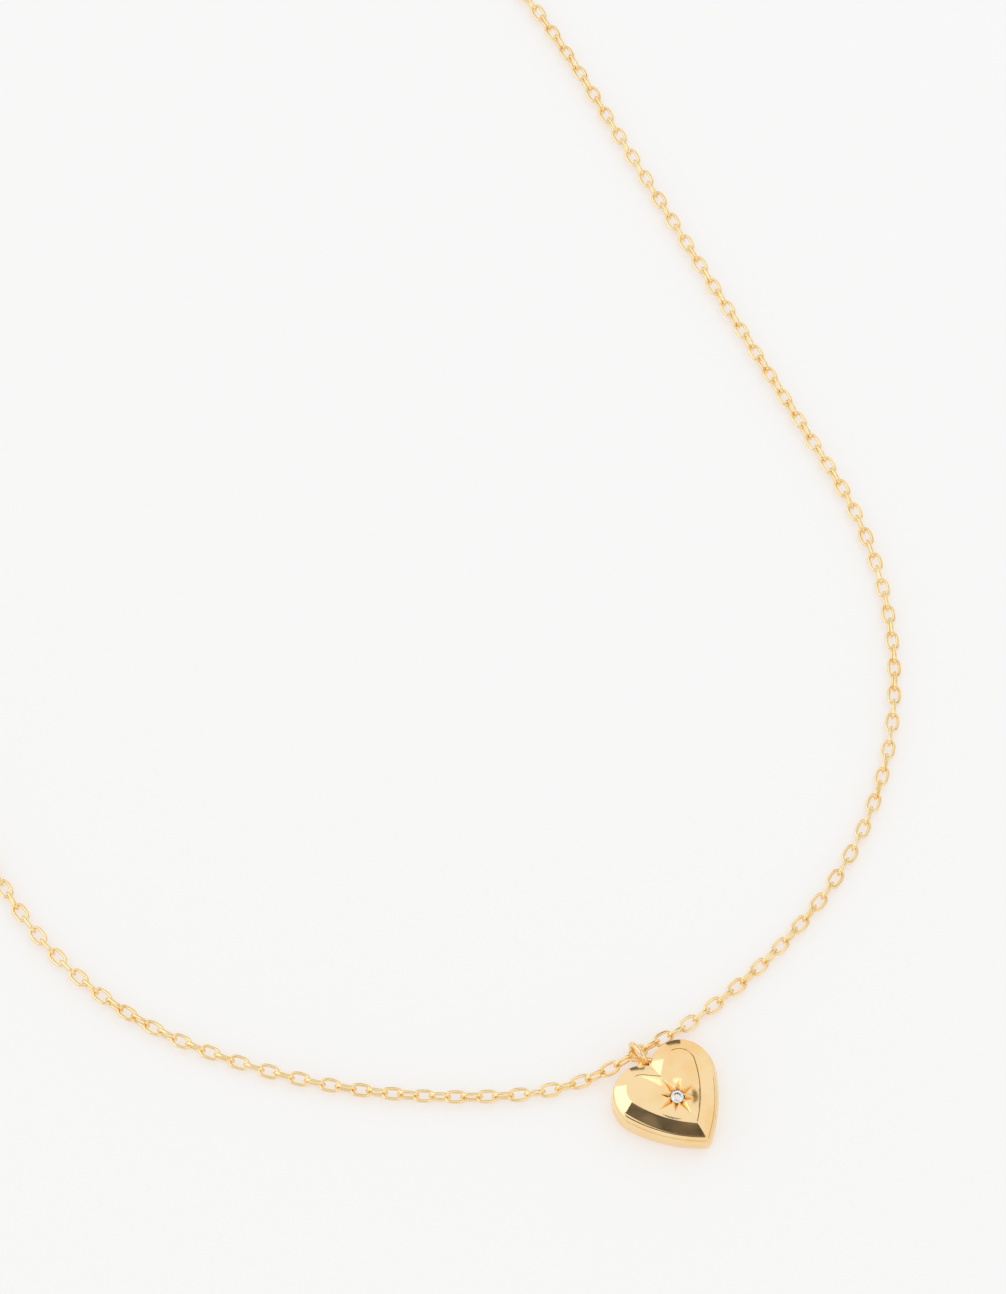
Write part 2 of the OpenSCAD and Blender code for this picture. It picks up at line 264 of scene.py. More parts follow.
@dataclass(frozen=True)
class GoldPlate(Finish):
    """Gold plate over brass: a slow drift of tone, polishing waves and hairline wear.

    Attributes:
        name: the material's name.
        light: colour where the plate is freshest.
        deep: the second tone that the drift mixes in at random, and the colour of the painted shade where a
            point attribute marks it.
        rough_low: roughness of the best-polished spots.
        rough_high: roughness of the worn spots.
        wave: strength of the polishing waves.
        wave_scale: polishing waves per metre.
        drift_scale: drifts of tone per metre.
        wear_scale: hairlines per metre.
        wave_depth: the polishing waves' full height, in metres.
        cut_attribute: name of a point attribute whose share paints shade in the deep colour, or empty.
    """

    name: str
    light: Colour = (0.97, 0.735, 0.41)
    deep: Colour = (0.94, 0.64, 0.30)
    rough_low: float = 0.05
    rough_high: float = 0.12
    wave: float = 0.05
    wave_scale: float = 900.0
    drift_scale: float = 260.0
    wear_scale: float = 2600.0
    wave_depth: float = 0.0001
    cut_attribute: str = ""

    def build(self, nodes: bpy.types.Nodes, links: bpy.types.NodeLinks, shader: bpy.types.Node) -> None:
        """Drifting tone, painted shade where a point attribute marks it, uneven polish and a fine wavy bump
        on a metal shader.
        """
        shader.inputs["Metallic"].default_value = 1.0
        drift = noise(nodes, links, self.drift_scale, 3.0)
        share = remap(nodes, links, drift, source=(0.45, 0.95))
        # Where a point attribute is given, its share paints shade in the deep colour, at least as much as the
        # drift gives.
        if self.cut_attribute:
            cut = nodes.new("ShaderNodeAttribute")
            cut.attribute_name = self.cut_attribute
            most = nodes.new("ShaderNodeMath")
            most.operation = "MAXIMUM"
            links.new(share, most.inputs[0])
            links.new(cut.outputs["Fac"], most.inputs[1])
            share = most.outputs[0]
        links.new(mix_tone(nodes, links, share, self.light, self.deep), shader.inputs["Base Color"])

        wear = noise(nodes, links, self.wear_scale, 4.0)
        polish = remap(nodes, links, wear, target=(self.rough_low, self.rough_high))
        links.new(polish, shader.inputs["Roughness"])

        bump = nodes.new("ShaderNodeBump")
        bump.inputs["Strength"].default_value = self.wave
        bump.inputs["Distance"].default_value = self.wave_depth
        links.new(noise(nodes, links, self.wave_scale, 1.0), bump.inputs["Height"])
        links.new(bump.outputs["Normal"], shader.inputs["Normal"])


@dataclass(frozen=True)
class ClearStone(Finish):
    """A clear, hard, high-index stone with clean flat facets."""

    name: str = "clear_stone"
    index: float = 2.15

    def build(self, nodes: bpy.types.Nodes, links: bpy.types.NodeLinks, shader: bpy.types.Node) -> None:
        """A clear body with a trace of unevenness in its polish."""
        shader.inputs["Base Color"].default_value = (0.93, 0.91, 0.89, 1)
        shader.inputs["Transmission Weight"].default_value = 1.0
        shader.inputs["IOR"].default_value = self.index
        haze = noise(nodes, links, 3000.0)
        links.new(remap(nodes, links, haze, target=(0.0, 0.03)), shader.inputs["Roughness"])


@dataclass(frozen=True)
class SpringSteel(Finish):
    """Drawn spring wire with a fine, uneven grain."""

    name: str = "spring_steel"

    def build(self, nodes: bpy.types.Nodes, links: bpy.types.NodeLinks, shader: bpy.types.Node) -> None:
        """Grey metal whose roughness wavers finely."""
        shader.inputs["Metallic"].default_value = 1.0
        shader.inputs["Base Color"].default_value = (0.55, 0.55, 0.56, 1)
        grain = noise(nodes, links, 4000.0)
        links.new(remap(nodes, links, grain, target=(0.2, 0.4)), shader.inputs["Roughness"])


class Gold(Enum):
    """The gold finishes that the necklace is made in."""

    POLISHED = GoldPlate("gold_polished")
    # The front shell's deep colour is a strong orange, painted as shade in the star's grooves and the stone's
    # hole.
    STAR_CUT = GoldPlate("gold_star_cut", cut_attribute="cut", deep=(0.93, 0.50, 0.13))
    WIRE = GoldPlate("gold_wire", light=(0.985, 0.79, 0.45), deep=(0.94, 0.63, 0.24),
                     rough_low=0.08, rough_high=0.2, wave=0.12, wave_scale=1500.0)
    # The setting's gold is painted deeper and more orange than the rest: painted shade for the grains and the
    # seat that sit round and under the stone.
    SETTING = GoldPlate("gold_setting", light=(0.95, 0.66, 0.30), deep=(0.9, 0.5, 0.15),
                        rough_low=0.1, rough_high=0.25)


# ---- Heart ------------------------------------------------------------------
@dataclass(frozen=True)
class Level:
    """One level of the heart's side.

    Attributes:
        offset: how far the outline is grown from the face's edge.
        z: the height.
        tip: the radius that rounds the tip.
        drop: how far the lobes' centres move towards the tip.
    """

    offset: float
    z: float
    tip: float = 0.06
    drop: float = 0.0


@dataclass
class Heart:
    """The puffed heart: two stamped shells, a loop, and a star-set stone."""

    turn: float = 36.5
    face_z: float = 2.95
    bevel_w: float = 1.08
    bevel_z: float = 2.35
    seam_w: float = 1.45
    seam_z: float = 1.85
    seam_step: float = 0.06
    side_w: float = 1.63
    side_z: float = 0.9
    floor_w: float = 1.25
    cleft_w: float = 1.2
    dome: float = 0.09
    swell: float = 0.07
    swell_r: float = 1.55
    notch_y: float = 1.98
    lobe_c: tuple[float, float] = (2.05, 1.95)
    lobe_r: float = 1.4
    tip_y: float = -3.26
    tip_lean: float = 50.5
    stone_y: float = -0.35
    stone_r: float = 0.6
    ray_long: float = 2.0
    ray_short: float = 1.5
    ray_depth: float = 0.26
    ray_width: float = 0.36
    ray_turn: float = 1.0
    loop_r: float = 0.7
    loop_wire: float = 0.45
    loop_z: float = 1.3
    bail_y: float = 5.15
    bail_r: float = 1.175
    bail_wire: float = 0.45
    around: int = 720
    body: str = "heart"

    def __post_init__(self) -> None:
        """Works out the face outline's arcs from the driving sizes."""
        cx, cy = self.lobe_c
        self.wide_r, self.wide_c = self.wide_arc(cx, cy, self.lobe_r, self.tip_y, math.radians(self.tip_lean))
        self.notch_rise = (math.asin(self.lobe_r / math.hypot(cx, cy - self.notch_y))
                           + math.atan2(cy - self.notch_y, cx))
        self.angles = np.linspace(0, 2 * np.pi, self.around, endpoint=False)

    @property
    def bail_d(self) -> float:
        """Outer diameter of the pendant's jump ring."""
        return 2 * self.bail_r + self.bail_wire

    @staticmethod
    def wide_arc(cx: float, cy: float, r: float, tip_y: float,
                 lean: float) -> tuple[float, tuple[float, float]]:
        """The arc that runs on smoothly from a lobe's arc and ends at the tip.

        Args:
            cx: the lobe centre's x.
            cy: the lobe centre's y.
            r: the lobe's radius.
            tip_y: where the arc meets the heart's axis.
            lean: the arc's normal there, below the X axis, in radians.

        Returns:
            The arc's radius and centre.
        """
        rise = cy - tip_y
        wide = (cx**2 + rise**2 - r**2) / (2 * (rise * math.sin(lean) - cx * math.cos(lean) - r))
        return wide, (-wide * math.cos(lean), tip_y + wide * math.sin(lean))

    def outline_radius(self, level: Level) -> Array:
        """Distance from the stone's axis to a level's outline, for each angle round it.

        The right half is a straight out of the notch, an arc round the lobe, a wide
        arc and a small arc round the tip. It is drawn finely, turned into bearing
        and distance about the stone, and read back at even bearings. The left half
        mirrors it.

        Args:
            level: the level's offset, tip rounding and lobe drop.

        Returns:
            One radius for each of the even angles.
        """
        def arc(centre: tuple[float, float], r: float, a0: float, a1: float, n: int = 400) -> Array:
            """Points along an arc, from one angle to another in radians."""
            a = np.linspace(a0, a1, n)
            return np.stack([centre[0] + r * np.cos(a), centre[1] + r * np.sin(a)], axis=1)

        d = level.offset
        far = self.wide_r + d
        low = self.wide_c[1] - math.sqrt(far**2 - self.wide_c[0] ** 2)
        lobe = (self.lobe_c[0], self.lobe_c[1] - level.drop)
        r = self.lobe_r + d
        wide, centre = self.wide_arc(*lobe, r, low, math.asin((self.wide_c[1] - low) / far))
        tip_c = (0.0, centre[1] - math.sqrt((wide - level.tip) ** 2 - centre[0] ** 2))
        join = math.atan2(lobe[1] - centre[1], lobe[0] - centre[0])
        bend = math.atan2(tip_c[1] - centre[1], -centre[0])
        grown = min(d, self.cleft_w)
        away = self.lobe_r + grown + level.drop * math.cos(self.notch_rise)
        start = math.pi / 2 + self.notch_rise - math.acos(min(1.0, away / r))
        side = arc(lobe, r, start, join)
        notch = [0.0, self.notch_y + grown / math.cos(self.notch_rise)]
        half = np.concatenate([np.linspace(notch, side[0], 200)[:-1], side, arc(centre, wide, join, bend)[1:],
                               arc(tip_c, level.tip, bend, -math.pi / 2, 60)[1:]])
        x, y = half[:, 0], half[:, 1] - self.stone_y
        bearing = np.arctan2(y, x)
        order = np.argsort(bearing)
        folded = np.where(np.cos(self.angles) >= -1e-9, self.angles, np.pi - self.angles)
        folded = (folded + np.pi) % (2 * np.pi) - np.pi
        return np.interp(folded, bearing[order], np.hypot(x, y)[order])

    def ring(self, radius: Array, z: Array | float) -> Array:
        """One ring of points round the stone's axis, turned to the heart's place."""
        points = np.stack([
            radius * np.cos(self.angles),
            radius * np.sin(self.angles) + self.stone_y,
            np.broadcast_to(z, radius.shape),
        ], axis=1)
        return points @ turn_z(self.turn).T

    def level_rings(self, levels: list[Level]) -> list[Array]:
        """A ring of points for each level."""
        return [self.ring(self.outline_radius(level), level.z) for level in levels]

    def star(self, radius: Array) -> tuple[Array, Array]:
        """Height of the engraved star over the face, and a share of painted shade in its grooves.

        Eight rays run out from the stone. Each is a V whose half width and depth
        fall to nothing at its end; a low lip of pushed-up metal runs along both
        sides. Long and short rays take turns.

        Args:
            radius: distance from the stone's axis, for each angle.

        Returns:
            The change in height, and a share from 0 to 1 of painted shade for the grooves.
        """
        height = np.zeros_like(radius)
        cut = np.zeros_like(radius)
        root = self.stone_r - 0.05
        lip_h, lip_gap, lip_w = 0.03, 0.04, 0.06
        for i in range(8):
            reach = self.ray_long if i % 2 == 0 else self.ray_short
            bearing = self.angles - math.radians(45 * i + self.ray_turn)
            along = radius * np.cos(bearing)
            across = np.abs(radius * np.sin(bearing))
            left = np.clip((reach - along) / (reach - root), 0, 1) * (along > 0)
            half_w = self.ray_width * left**0.8 + 1e-6
            inside = np.clip(1 - across / half_w, 0, 1) * (left > 0)
            lip = np.exp(-(((across - half_w - lip_gap) / lip_w) ** 2)) * np.clip(left * 4, 0, 1)
            height = np.minimum(height, -self.ray_depth * left**0.85 * inside) + lip_h * lip * (inside <= 0)
            # Painted shade: the share is high inside each groove and fades near the ray's end.
            cut = np.maximum(cut, np.clip(inside * 1.6, 0, 1) * np.clip(left * 2.2, 0, 1))
        return height, cut

    def face_height(self, radius: Array, edge: Array) -> Array:
        """The face's height: a shallow dome, with a low swell round the star."""
        swell = self.swell * np.exp(-((radius / self.swell_r) ** 4))
        return self.face_z + self.dome * (1 - (radius / edge) ** 2) + swell

    def build_front(self) -> bpy.types.Object:
        """The front shell: stone hole, star, domed face, bevel band and skirt."""
        ease, star_field, hole_gap = 0.13, 2.1, 0.01
        # The stone's hole is lined with painted shade, 0.6 of the way to the deep colour.
        flare_depth, flare_w, belly, hole_shade = 0.05, 0.12, 0.012, 0.6
        rim = Level(-ease, self.face_z)
        edge = self.outline_radius(rim)
        rings = [self.ring(np.full(self.around, r), z)
                 for r, z in ((0.62, self.face_z - 0.5), (0.61, self.face_z - 0.12))]
        shade_shares = [np.full(self.around, hole_shade)] * 2
        hole = np.full(self.around, self.stone_r + hole_gap)
        for k in np.concatenate([np.linspace(0, 1, 64), np.linspace(1, 2, 14)[1:]]):
            radius = hole + (star_field - hole) * k if k <= 1 else star_field + (edge - star_field) * (k - 1)
            height, cut = self.star(radius)
            flare = -flare_depth * np.clip(1 - (radius - self.stone_r) / flare_w, 0, 1)
            rings.append(self.ring(radius, self.face_height(radius, edge) + height + flare))
            shade_shares.append(cut)

        # The edge of the face is eased along a parabola, then the band runs down.
        slope = (self.face_z - self.bevel_z) / self.bevel_w
        t = np.linspace(0, 1, 9)[1:]
        eased = [Level(ease * (2 * k - 1), self.face_z - slope * ease * k**2) for k in t]
        band = [Level(d, self.face_z - slope * d + belly * math.sin(math.pi * d / self.bevel_w),
                      0.06 + 0.06 * d / self.bevel_w) for d in np.linspace(0.2, 1.04, 9)]
        skirt_w = self.seam_w - self.seam_step
        a = np.linspace(0.12, 1, 10) * math.pi / 2
        shoulder = [Level(self.bevel_w + (skirt_w - self.bevel_w) * math.sin(k),
                          self.bevel_z - 0.3 * (1 - math.cos(k)) - 0.09 * math.sin(k),
                          0.12 + 0.28 * math.sin(k), 0.28 * math.sin(k)) for k in a]
        # The skirt turns under at the seam, and the lining runs back up to the stone.
        wall, rim_z = 0.35, self.seam_z + 0.01
        skirt = [Level(skirt_w, self.seam_z + 0.04, 0.4, 0.3),
                 Level(skirt_w - 0.02, rim_z, 0.4, 0.3),
                 Level(skirt_w - 0.3, rim_z, 0.1, 0.3),
                 Level(skirt_w - wall, self.seam_z + 0.2, 0.1, 0.2),
                 Level(self.bevel_w - wall, self.bevel_z - 0.2, 0.1),
                 Level(0.04, self.face_z - 0.36)]
        for level in eased + band + [Level(self.bevel_w, self.bevel_z, 0.12)] + shoulder + skirt:
            rings.append(self.ring(self.outline_radius(level), level.z))
            shade_shares.append(np.zeros(self.around))
        # The lining's last ring also carries the hole's painted shade.
        rings.append(self.ring(np.full(self.around, 0.8), self.face_z - 0.5))
        shade_shares.append(np.full(self.around, hole_shade))
        piece = make_object("heart_front_shell", np.concatenate(rings),
                            grid_faces(len(rings), self.around, True, True)[:, ::-1])
        # The painted shade of the grooves and of the stone's hole is stored on the points for the finish.
        tone = piece.data.attributes.new("cut", "FLOAT", "POINT")
        tone.data.foreach_set("value", np.concatenate(shade_shares).astype(np.float32))
        return piece

    def build_back(self) -> bpy.types.Object:
        """The back shell: a puffed tray, a size larger than the front's skirt.

        Its side swells out in a parabola from the seam to its widest level, then
        curls under to the flat back along a rounded corner.
        """
        top = self.seam_z
        wide_tip, wide_drop = 0.8, 0.54
        upper = []
        for u in np.linspace(1, 0, 14):
            z = self.side_z + (top - 0.02 - self.side_z) * u
            out = self.side_w - (self.side_w - self.seam_w) * u**2
            upper.append(Level(out, z, wide_tip - 0.34 * u**2, wide_drop - 0.22 * u**2))
        lower = []
        for a in np.linspace(0, 1, 14)[1:] * math.pi / 2:
            u = math.sin(a) ** 0.8
            out = math.cos(a) ** 0.8
            lower.append(Level(self.floor_w + (self.side_w - self.floor_w) * out, self.side_z * (1 - u),
                               wide_tip - 0.3 * u**2, wide_drop - 0.24 * u**2))
        w = self.seam_w
        wall, floor_z = 0.33, 0.36
        inside = [Level(w - 0.5, floor_z, 0.1, 0.3),
                  Level(w - wall, 0.5, 0.1, 0.3),
                  Level(w - wall, top - 0.05, 0.1, 0.3)]
        rim = [Level(w - 0.3, top, 0.1, 0.3),
               Level(w - 0.03, top, 0.44, 0.32),
               Level(w - 0.008, top - 0.006, 0.45, 0.32)]
        levels = inside + rim + upper + lower
        n = self.around
        tray_floor = np.arange(n)
        flat_back = np.arange((len(levels) - 1) * n, len(levels) * n)[::-1]
        return make_object("heart_back_shell", np.concatenate(self.level_rings(levels)),
                           grid_faces(len(levels), n, False, True)[:, ::-1], [tray_floor, flat_back])

    def place(self, points: Array, at: tuple[float, float, float]) -> Array:
        """Moves points from a place in the heart's own axes to the necklace's."""
        return (points + np.array(at)) @ turn_z(self.turn).T

    def build_loop(self) -> bpy.types.Object:
        """The soldered loop in the notch, in the heart's plane."""
        reach = self.bail_r - (self.bail_wire + self.loop_wire) / 2 - 0.04
        y = self.bail_y - math.sqrt(reach**2 - (self.bail_d / 2 - self.loop_z) ** 2) - self.loop_r
        points, quads = tube_ring(self.loop_r, self.loop_wire / 2, 72, 24)
        return make_object("heart_notch_loop", self.place(points, (0, y, self.loop_z)), quads)

    def build_bail(self) -> bpy.types.Object:
        """The jump ring round the chain, with the fine line of its closed joint."""
        joint_at, joint_w, joint_depth = 2.2, 0.02, 0.09

        def joint(a: Array) -> Array:
            """The wire's thickness round the ring, as a share: a narrow dip at the joint."""
            return 1 - joint_depth * np.exp(-(((a - joint_at) / joint_w) ** 2))

        points, quads = tube_ring(self.bail_r, self.bail_wire / 2, 240, 28, joint)
        upright = points @ turn_y(90).T
        return make_object("pendant_jump_ring", self.place(upright, (0, self.bail_y, self.bail_d / 2)), quads)

    def build_stone(self) -> bpy.types.Object:
        """A round brilliant: table, star, kite and girdle facets over a pavilion.

        Rings of eight or sixteen points at set heights and radii are joined by
        flat triangles, each ring half a step round from the last.
        """
        girdle = self.face_z - 0.03
        r = self.stone_r
        # Ring radii are shares of the radius, and heights are shares of the diameter.
        table_share, crown_share, pavilion_share = 0.56, 0.8, 0.42
        table_up, crown_up, pavilion_down, culet_down = 0.16, 0.09, 0.25, 0.43
        half_girdle = 0.012
        step = np.pi / 8
        eight = np.arange(8) * 2 * step
        sixteen = np.arange(16) * step

        def ring(radius: float, angle: Array, z: float) -> Array:
            """A ring of points at one height."""
            return np.stack([radius * np.cos(angle), radius * np.sin(angle), np.full(angle.shape, z)], axis=1)

        points = np.concatenate([
            ring(table_share * r, eight, girdle + table_up * 2 * r),
            ring(crown_share * r, eight + step, girdle + crown_up * 2 * r),
            ring(r, sixteen, girdle + half_girdle),
            ring(r, sixteen, girdle - half_girdle),
            ring(pavilion_share * r, eight + step, girdle - pavilion_down * 2 * r),
            [[0, 0, girdle - culet_down * 2 * r]],
        ])
        k = np.arange(8)
        nxt = (k + 1) % 8
        table, kite, up, down, low, culet = 0, 8, 16, 32, 48, 56
        tris = np.concatenate([
            np.stack([table + k, kite + k, table + nxt], 1),
            np.stack([table + nxt, kite + k, up + 2 * nxt], 1),
            np.stack([table + nxt, up + 2 * nxt, kite + nxt], 1),
            np.stack([kite + k, up + 2 * k, up + 2 * k + 1], 1),
            np.stack([kite + k, up + 2 * k + 1, up + (2 * k + 2) % 16], 1),
            np.stack([low + k, down + 2 * k + 1, down + 2 * k], 1),
            np.stack([low + k, down + (2 * k + 2) % 16, down + 2 * k + 1], 1),
            np.stack([low + k, low + nxt, down + 2 * nxt], 1),
            np.stack([low + k, np.full(8, culet), low + nxt], 1),
        ])
        j = np.arange(16)
        jn = (j + 1) % 16
        quads = np.stack([up + j, down + j, down + jn, up + jn], 1)
        faces = [*tris, table + k]
        stone = make_object("round_stone", self.place(points, (0, self.stone_y, 0)), quads, faces)
        stone.data.polygons.foreach_set("use_smooth", np.zeros(len(stone.data.polygons), bool))
        return stone

    def build_grains(self) -> bpy.types.Object:
        """Eight raised beads between the rays, pushed over the stone's edge."""
        points, quads, fans = [], [], []
        rows, columns = 9, 20
        bead_r, bead_out, bead_up = 0.125, 0.1, 0.07
        a = np.linspace(0.06, 1.75, rows)[:, None]
        b = np.linspace(0, 2 * np.pi, columns, endpoint=False)[None, :]
        bead = np.stack([np.sin(a) * np.cos(b), np.sin(a) * np.sin(b), np.cos(a) * np.ones_like(b)], -1)
        bead = bead.reshape(-1, 3) * bead_r
        for i in range(8):
            angle = math.radians(45 * i + self.ray_turn + 22.5)
            r = self.stone_r + bead_out
            start = len(points) * rows * columns
            middle = [r * math.cos(angle), r * math.sin(angle) + self.stone_y, self.face_z + bead_up]
            points.append(bead + middle)
            quads.append(grid_faces(rows, columns, False, True)[:, ::-1] + start)
            fans.append(np.arange(columns) + start)
            fans.append(np.arange(columns)[::-1] + start + (rows - 1) * columns)
        placed = np.concatenate(points) @ turn_z(self.turn).T
        return make_object("stone_grains", placed, np.concatenate(quads), fans)

    def dress(self) -> None:
        """Builds the heart's pieces and fits each in its place."""
        fit(self.build_front(), self.body, ["heart_front"], Gold.STAR_CUT.value)
        fit(self.build_back(), self.body, ["heart_back"], Gold.POLISHED.value)
        fit(self.build_loop(), self.body, ["heart_loop"], Gold.POLISHED.value)
        fit(self.build_stone(), self.body, ["stone"], ClearStone())
        fit(self.build_grains(), self.body, ["setting_grains"], Gold.SETTING.value)
        fit(self.build_bail(), "pendant_ring", ["pendant_ring"], Gold.POLISHED.value)


# ---- Chain ------------------------------------------------------------------
@dataclass(frozen=True)
class LinkSize:
    """The outer length and width of an oval link, and its wire's diameter."""

    length: float
    width: float
    wire: float

    @property
    def end(self) -> float:
        """From the link's middle to the middle of its end wire."""
        return (self.length - self.wire) / 2

    def cage(self) -> tuple[Array, Array]:
        """A coarse link for one level of subdivision: a hexagon of wire on an oval.

        The oval is two half circles joined by straights. The cage is drawn larger
        than the link by the share that subdivision takes off it.
        """
        oval_kept, wire_kept = 0.955, 0.84
        half = (self.length - self.width) / 2
        r = (self.width - self.wire) / 2 / oval_kept
        a = np.linspace(-np.pi / 2, np.pi / 2, 6)
        right = np.stack([half + r * np.cos(a), r * np.sin(a)], 1)
        middle = np.concatenate([right, -right])
        out = np.concatenate([np.stack([np.cos(a), np.sin(a)], 1), np.stack([-np.cos(a), -np.sin(a)], 1)])
        b = np.linspace(0, 2 * np.pi, 6, endpoint=False)
        wire = self.wire / 2 / wire_kept
        flat = middle[:, None, :] + wire * np.cos(b)[None, :, None] * out[:, None, :]
        z = np.broadcast_to(wire * np.sin(b), flat.shape[:2])[..., None]
        points = np.concatenate([flat, z], axis=-1).reshape(-1, 3)
        return points, grid_faces(len(middle), 6, True, True)[:, ::-1]


@dataclass(frozen=True)
class Stop:
    """One link's place: where it lies, which way it runs and how it is turned."""

    x: float
    y: float
    z: float
    heading: float
    tilt: float
    roll: float

    def move(self, points: Array) -> Array:
        """Points of a link about the origin, moved to this place."""
        turn = turn_z(self.heading) @ turn_y(-self.tilt) @ turn_x(self.roll)
        return points @ turn.T + np.array([self.x, self.y, self.z])


def go(pose: Pose, run: float, turn: float) -> Pose:
    """Where a path gets to along an arc.

    Args:
        pose: x, y and heading at the start.
        run: the arc's length.
        turn: how far the heading turns, in degrees.

    Returns:
        x, y and heading at the end.
    """
    x, y, h = pose
    if abs(turn) < 0.01:
        return x + run * math.cos(math.radians(h)), y + run * math.sin(math.radians(h)), h
    r = run / math.radians(turn)
    a, b = math.radians(h), math.radians(h + turn)
    return x + r * (math.sin(b) - math.sin(a)), y - r * (math.cos(b) - math.cos(a)), h + turn


@dataclass
class Chain:
    """The fine cable chain: two rows of strands out of the pendant's ring."""

    link: LinkSize = LinkSize(2.09, 1.3, 0.32)
    # Each strand is its number of links and its turn in degrees.
    right: Strands = ((15, 21), (14, 29), (20, 37), (35, -1), (12, 7), (22, 45), (22, 46))
    left: Strands = ((8, -27), (21, -27), (15, -33), (26, -29), (26, 3), (18, 42))
    pitch: float = 1.4
    middle_y: float = 5.39
    middle_z: float = 1.4
    lie_z: float = 0.66
    rise: float = 6.0
    lag: float = 5.5
    sway: float = 10.0
    turn: float = 36.5

    def middle(self) -> Pose:
        """The middle link's place, inside the pendant's ring."""
        x, y, _ = turn_z(self.turn) @ np.array([0, self.middle_y, 0])
        return x, y, self.turn - self.lag

    def height(self, s: float) -> tuple[float, float]:
        """The chain's height and slope, a distance s along it from the ring."""
        if s >= self.rise:
            return self.lie_z, 0.0
        drop, part = self.middle_z - self.lie_z, math.pi * s / self.rise
        slope = -drop * math.pi / self.rise / 2 * math.sin(part)
        return self.lie_z + drop * (1 + math.cos(part)) / 2, math.degrees(math.atan(slope))

    def stops(self, side: Strands, start: Pose) -> list[list[Stop]]:
        """Every link's place on one side, a list for each strand."""
        made, index = [], 0
        for count, turn in side:
            strand = []
            for j in range(count):
                part = (j + 0.5) / count
                index += 1
                x, y, h = go(start, count * self.pitch * part, turn * part)
                z, tilt = self.height(index * self.pitch)
                roll = (index % 2) * 90 + self.sway * math.sin(2 * math.pi * part)
                strand.append(Stop(x, y, z, h, tilt, roll))
            made.append(strand)
            start = go(start, count * self.pitch, turn)
        return made

    def lay(self, name: str, size: LinkSize, stops: list[Stop]) -> bpy.types.Object:
        """One object that holds a strand's links, each a closed shape of its own."""
        points, quads = size.cage()
        places = np.concatenate([stop.move(points) for stop in stops])
        faces = (quads[None] + (np.arange(len(stops)) * len(points))[:, None, None]).reshape(-1, 4)
        piece = make_object(name, places, faces)
        subdivide(piece)
        return piece

    def dress(self) -> None:
        """Lays the middle link and every strand."""
        gold = Gold.WIRE.value
        x, y, h = self.middle()
        middle = self.lay("middle_link", self.link, [Stop(x, y, self.middle_z, h, 0, 0)])
        fit(middle, "chain_middle", ["chain_centre"], gold)
        for word, side, heading in (("right", self.right, h), ("left", self.left, h + 180)):
            start = go((x, y, heading), self.pitch / 2, 0)
            for i, stops in enumerate(self.stops(side, start), 1):
                piece = self.lay(f"{word}_strand_{i}", self.link, stops)
                body = "chain_middle" if i == 1 else f"{word}_{i}"
                fit(piece, body, [f"chain_{word}_{i}"], gold)


